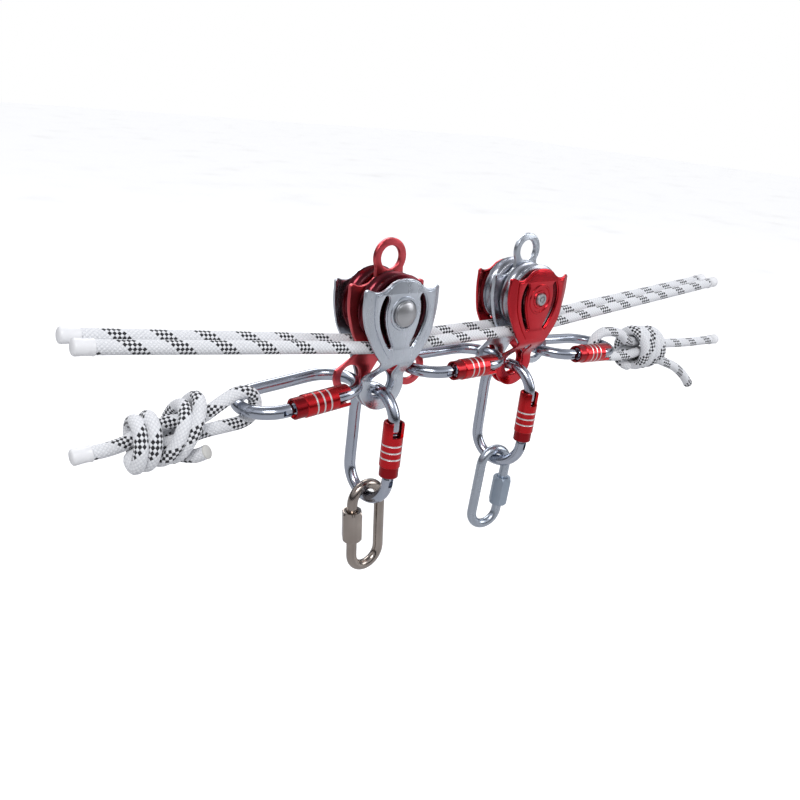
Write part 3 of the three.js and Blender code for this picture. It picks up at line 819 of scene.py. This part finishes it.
def carabiners():
    bar, rod, tongue, rivet = carabiner_bar(), gate_rod(), gate_tongue(), hinge_rivet()
    shell, lip = sleeve_parts()
    names = {"low_a": "hanging_a", "low_b": "hanging_b", "left": "level_left", "middle": "level_middle",
             "right": "level_right"}
    for name, body in names.items():
        matrix = carabiner_frame(body)
        node = f"carabiner_{name}"
        rides = [
            (bar, "bar", body, "body", "polished"),
            (rivet, "rivet", body, "hinge_pin", "steel"),
            (rod, "gate_rod", f"{body}_gate", "gate", "polished"),
            (tongue, "gate_tongue", f"{body}_gate", None, "polished"),
            (shell, "sleeve_shell", f"{body}_sleeve", "sleeve", "sleeve_red"),
            (lip, "sleeve_lip", f"{body}_sleeve", None, "sleeve_red"),
        ]
        for source, label, owner, replaced, slot in rides:
            obj = copy_of(source, f"{body}_{label}", matrix)
            if replaced:
                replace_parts(obj, f"{node}_{replaced}")
            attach(obj, owner)
    for source in (bar, rod, tongue, rivet, shell, lip):
        bpy.data.objects.remove(source)


# ---------------------------------------------------------------- quick links
def link_route(side, rise):
    """The middle of a link's bar, from inside the nut round both bows and back into the nut."""
    def on_bow(angle, z):
        return (side * LINK_BOW * math.cos(angle), 0, LINK_CENTRE + z + LINK_BOW * math.sin(angle))

    def on_leg(leg, z):
        return (leg * side * LINK_BOW, 0, LINK_CENTRE + z)

    points = [on_leg(1, rise + 13), on_leg(1, 24)]
    points += [on_bow(math.pi * i / 12, LINK_STRAIGHT) for i in range(13)]
    points += [on_leg(-1, 20), on_leg(-1, -20)]
    points += [on_bow(math.pi * (1 + i / 12), -LINK_STRAIGHT) for i in range(13)]
    return points + [on_leg(1, -21), on_leg(1, rise + 9)]


def quick_link(letter, turn, tilt, side, rise, link_material, nut_material):
    link = tube(f"link_{letter}_bar", smooth_path(link_route(side, rise), 1.6), LINK_R, link_material, 28)
    nut = hex_nut(f"nut_{letter}_hex", nut_material)
    place(nut, at(side * LINK_BOW, 0, LINK_CENTRE + rise))
    rest = Vector(JOINTS[f"link_{letter}_swing"]["pos_m"]) + Vector((0, 0, BAR_R + LINK_R + 2 * GAP)) * MM
    turned_by = Matrix.Rotation(math.radians(turn), 4, "Z")
    tilted_by = Matrix.Rotation(math.radians(-tilt), 4, "Y")
    for obj, node, body in ((link, "body", f"link_{letter}"), (nut, "nut", f"nut_{letter}")):
        place(obj, Matrix.Translation(rest) @ turned_by @ tilted_by)
        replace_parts(obj, f"quick_link_{letter}_{node}")
        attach(obj, body)


def hex_nut(name, material):
    """A long hexagonal nut with turned chamfers at both ends and a lip round each bore."""
    flat_r = NUT_FLATS / 2
    half = NUT_LENGTH / 2
    corner_r = NUT_FLATS / math.sqrt(3)
    rings = [(LINK_R + 0.35, half - 1), (LINK_R + 0.9, half - 0.4), (flat_r - 1.2, half)]
    rings += [(flat_r - 0.2, half), (corner_r, half - 2.2)]
    rings += [(r, -z) for r, z in reversed(rings)]
    sides = 72
    verts = []
    for radius, z in rings:
        for k in range(sides):
            angle = 2 * math.pi * k / sides
            fold = (angle + math.pi / 6) % (math.pi / 3) - math.pi / 6
            limit = (flat_r - 0.02) / math.cos(fold)
            r = min(radius, limit)
            verts.append((r * math.sin(angle), r * math.cos(angle), z))
    count = len(rings)
    faces = []
    for i in range(count):
        j = (i + 1) % count
        for k in range(sides):
            m = (k + 1) % sides
            faces.append((i * sides + k, i * sides + m, j * sides + m, j * sides + k))
    return make(name, verts, faces, material, sharp=22)


# ---------------------------------------------------------------- ropes
def track_point(x, side):
    half = SPACING / 2 + 6
    beyond_left = max(0, -half - x)
    beyond_right = max(0, x - half)
    y = side * (ROPE_Y + beyond_left * ROPE_SPREAD_LEFT + beyond_right * ROPE_SPREAD_RIGHT)
    return (x, y, beyond_left * ROPE_RISE_LEFT + beyond_right * ROPE_RISE_RIGHT)


def end_cap(name, node, origin, away, body):
    """A shrink sleeve over a rope's end, with a rolled lip and a rounded tip."""
    profile = [(0, GAP), (ROPE_R - 0.6, GAP), (CAP_R, GAP + 0.1), (CAP_R, 1.2), (CAP_R - 0.35, 1.8)]
    profile += [(CAP_R - 0.3, 8), (CAP_R, 13), (CAP_R - 0.5, 14.2), (CAP_R - 1.6, 14.9), (0, CAP_LENGTH)]
    cap = turned(name, profile, "shrink", 40)
    turn = Vector(away).to_track_quat("Y", "Z").to_matrix().to_4x4()
    place(cap, Matrix.Translation(Vector(origin) * MM) @ turn)
    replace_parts(cap, node)
    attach(cap, body)
    return cap


def cord(name, points, nodes, body):
    """A rope through the points, attached to the given body, that stands in for the nodes and hides them."""
    path = smooth_path(points, 2.0)
    rope = tube(name, path, ROPE_R, "rope", 24)
    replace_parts(rope, *nodes)
    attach(rope, body)


def track_ropes():
    stations = [ROPE_LEFT_X, -260, -180, -101, -85, 0, 85, 101, 200, 300, ROPE_RIGHT_X]
    for end, side in (("front", -1), ("rear", 1)):
        points = [track_point(x, side) for x in stations]
        first, second, before, last = (Vector(points[i]) for i in (0, 1, -2, -1))
        node = f"track_rope_{end}"
        caps = [end_cap(f"{node}_cap_left", f"{node}_end_left", first, first - second, "frame"),
                end_cap(f"{node}_cap_right", f"{node}_end_right", last, last - before, "frame")]
        cord(f"{node}_sheath", points, [node], "frame")


def wraps(low, high, turns, across, upright, slope, growth=0.0):
    """Turns of rope round a knot's core, up its front, over its top and down its back, from low to high.

    Both ends of the core are (x, z). growth makes the last turn that much taller than the first.
    """
    points = []
    count = turns * 8
    for i in range(count + 1):
        angle = 2 * math.pi * i / 8
        t = i / count
        x, z = (a + (b - a) * t for a, b in zip(low, high))
        rise = -(upright + growth * t) * math.cos(angle)
        points.append((x + slope * rise, -across * math.sin(angle), z + rise))
    return points


LOOP_LEFT = [
    (-255, 0, -40.5), (-247, 0, -36), (-238, 0, -31), (-229, 0, -27), (-220, 0, -26), (-212.5, 0, -30.5),
    (-210.5, 0, -39), (-214, 0, -47), (-222, 0, -51.3), (-232, 0, -52.5), (-243, 0, -53), (-256, 0, -54),
]
LOOP_RIGHT = [
    (279, 0, -36), (268, 0, -29), (255, 0, -24), (241, 0, -22), (228, 0, -22.5), (219, 0, -28),
    (216.5, 0, -36.5), (220, 0, -45.5), (229, 0, -49.5), (240, 0, -51), (255, 0, -53), (270, 0, -54.5),
]


def tail_tip(name, path_end, before, body, material):
    """The melted end of a tag rope's tail."""
    profile = [(0, -0.8), (5.3, -0.8), (5.75, -0.3), (5.7, 0.6), (5.0, 1.3), (3.0, 1.7), (0, 1.8)]
    tip = turned(name, profile, material, 32)
    away = Vector(path_end) - Vector(before)
    place(tip, Matrix.Translation(Vector(path_end) * MM) @ away.to_track_quat("Y", "Z").to_matrix().to_4x4())
    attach(tip, body)
    return tip


def tag_left():
    """Standing part, core, loop round the carabiner, core again, then two upright turns and two leaning."""
    start = (-342, 0, -55)
    points = [start, (-331, 0, -54.4), (-318, 1, -52.5), (-305, 3, -47.5), (-290, 4, -44)]
    points += [(-275, 3, -42.5), (-263, 0.5, -42.5)]
    points += LOOP_LEFT
    points += [(-270, -2, -55.5), (-285, -3, -57), (-300, -3, -58.5), (-314, -2, -64)]
    points += wraps((-315, -55.5), (-294, -52), 2, 17, 17.5, 0.05)[1:-1]
    points += wraps((-286, -51), (-265, -46), 2, 17.5, 18.5, 0.45, 4.5)
    points += [(-267, -11, -68), (-261, -18, -63)]
    cap = end_cap("tag_left_cap", "tag_end_left", start, (-1, 0, -0.05), "level_left")
    tip = tail_tip("tag_left_tip", points[-1], points[-2], "level_left", "melted_pale")
    nodes = ["tag_standing_left", "tag_knot_left", "tag_loop_left"]
    cord("tag_left_sheath", points, nodes, "level_left")


def tag_right():
    """The same with four even turns, and a tail that comes back through the knot and hangs free."""
    start = (462, 0, -55)
    points = [start, (415, 0, -53), (370, 0, -49.5), (345, 1, -46.5), (328, 2, -42), (310, 2, -40.5)]
    points += [(295, 1.5, -39.5), (285, 0.5, -38)]
    points += LOOP_RIGHT
    points += [(283, -3, -54), (297, -5, -51), (312, -5, -51), (326, -4, -56)]
    points += wraps((331, -49), (288, -47), 4, 17.5, 20, -0.1, 2)[1:]
    points += [(283, 8, -62), (290, 8, -54), (305, 7, -53), (320, 4, -56), (333, -4, -62)]
    points += [(352, -9, -69), (371, -10, -76), (389, -10, -85), (404, -10, -95), (417, -10, -106)]
    cap = end_cap("tag_right_cap", "tag_end_right", start, (1, 0, -0.04), "level_right")
    tip = tail_tip("tag_right_tip", points[-1], points[-2], "level_right", "melted_dark")
    nodes = ["tag_standing_right", "tag_knot_right", "tag_loop_right", "tag_tail_right"]
    cord("tag_right_sheath", points, nodes, "level_right")


# ---------------------------------------------------------------- stage
def floor():
    """A plain floor, a little below the lowest link, that looks white to the camera but reflects as grey."""
    mesh = bpy.data.meshes.new("floor")
    half, z = 12, CAD_BOX[0][2] - 0.12
    corners = [(-half, -half, z), (half, -half, z), (half, half, z), (-half, half, z)]
    mesh.from_pydata(corners, [], [(0, 1, 2, 3)])
    shader = Shader("floor", (0.55, 0.55, 0.555), 0.0, 0.9)
    shader.join(shader.noise(3), shader.bsdf.inputs["Roughness"])
    rays = shader.add("ShaderNodeLightPath")
    glow = shader.add("ShaderNodeEmission")
    glow.inputs["Color"].default_value = (1, 1, 1, 1)
    shader.join(shader.math("MULTIPLY", rays.outputs["Is Camera Ray"], 0.66), glow.inputs["Strength"])
    total = shader.add("ShaderNodeAddShader")
    shader.join(shader.bsdf.outputs[0], total.inputs[0])
    shader.join(glow.outputs[0], total.inputs[1])
    shader.join(total.outputs[0], shader.nodes["Material Output"].inputs["Surface"])
    mesh.materials.append(shader.material)
    obj = bpy.data.objects.new("floor", mesh)
    bpy.context.scene.collection.objects.link(obj)


def area_light(name, position, target, size, power, tint=(1, 1, 1)):
    data = bpy.data.lights.new(name, "AREA")
    data.shape = "RECTANGLE"
    data.size, data.size_y = size
    data.energy = power
    data.color = tint
    obj = bpy.data.objects.new(name, data)
    obj.location = position
    obj.rotation_euler = (Vector(target) - Vector(position)).to_track_quat("-Z", "Y").to_euler()
    bpy.context.scene.collection.objects.link(obj)


def world():
    """White to the camera, and a soft grey-blue band at the horizon for the metal to reflect."""
    space = bpy.data.worlds.new("world")
    space.use_nodes = True
    nodes, links = space.node_tree.nodes, space.node_tree.links
    back = nodes["Background"]
    back.inputs["Color"].default_value = (1, 1, 1, 1)
    place_node = nodes.new("ShaderNodeTexCoord")
    split = nodes.new("ShaderNodeSeparateXYZ")
    ramp = nodes.new("ShaderNodeValToRGB")
    links.new(place_node.outputs["Generated"], split.inputs[0])
    lift = nodes.new("ShaderNodeMapRange")
    lift.inputs["From Min"].default_value = -1
    links.new(split.outputs["Z"], lift.inputs["Value"])
    links.new(lift.outputs[0], ramp.inputs[0])
    stops = [(0.0, 0.3), (0.46, 0.22), (0.51, 0.05), (0.58, 0.04), (0.66, 0.5), (0.80, 0.9), (1.0, 0.25)]
    elements = ramp.color_ramp.elements
    while len(elements) < len(stops):
        elements.new(0.5)
    for element, (position, level) in zip(elements, stops):
        element.position = position
        element.color = (level * 0.96, level * 0.98, level * 1.04, 1)
    path = nodes.new("ShaderNodeLightPath")
    mix = nodes.new("ShaderNodeMix")
    mix.data_type = "RGBA"
    mix.inputs["B"].default_value = (1, 1, 1, 1)
    links.new(path.outputs["Is Camera Ray"], mix.inputs["Factor"])
    links.new(ramp.outputs[0], mix.inputs["A"])
    links.new(mix.outputs["Result"], back.inputs["Color"])
    bpy.context.scene.world = space


make_camera()
track_ropes()
tag_left()
tag_right()
side_plates("a", LEFT_X, "silver", False)
side_plates("b", RIGHT_X, "red", True)
center_plate("a", LEFT_X, "rose")
center_plate("b", RIGHT_X, "silver")
axle("a", LEFT_X, 11.5, 5, domed_head)
axle("b", RIGHT_X, 6.5, 2.5, dimpled_head)
sheaves("a", LEFT_X, "dark_red")
sheaves("b", RIGHT_X, "tread")
carabiners()
quick_link("a", 3, 4, -1, 6, "stainless", "stainless")
quick_link("b", -8, -4, 1, -5, "zinc", "zinc_dull")

floor()
world()
area_light("key", (-1.4, -1.6, 2.2), (0, 0, 0), (1.2, 1.0), 46)
area_light("fill", (1.8, -1.4, 0.9), (0, 0, -0.05), (0.8, 1.6), 16, (0.95, 0.97, 1))
area_light("back", (0.4, 2.0, 1.6), (0, 0, 0), (2.0, 0.8), 20)
bpy.context.scene.view_settings.view_transform = "Standard"
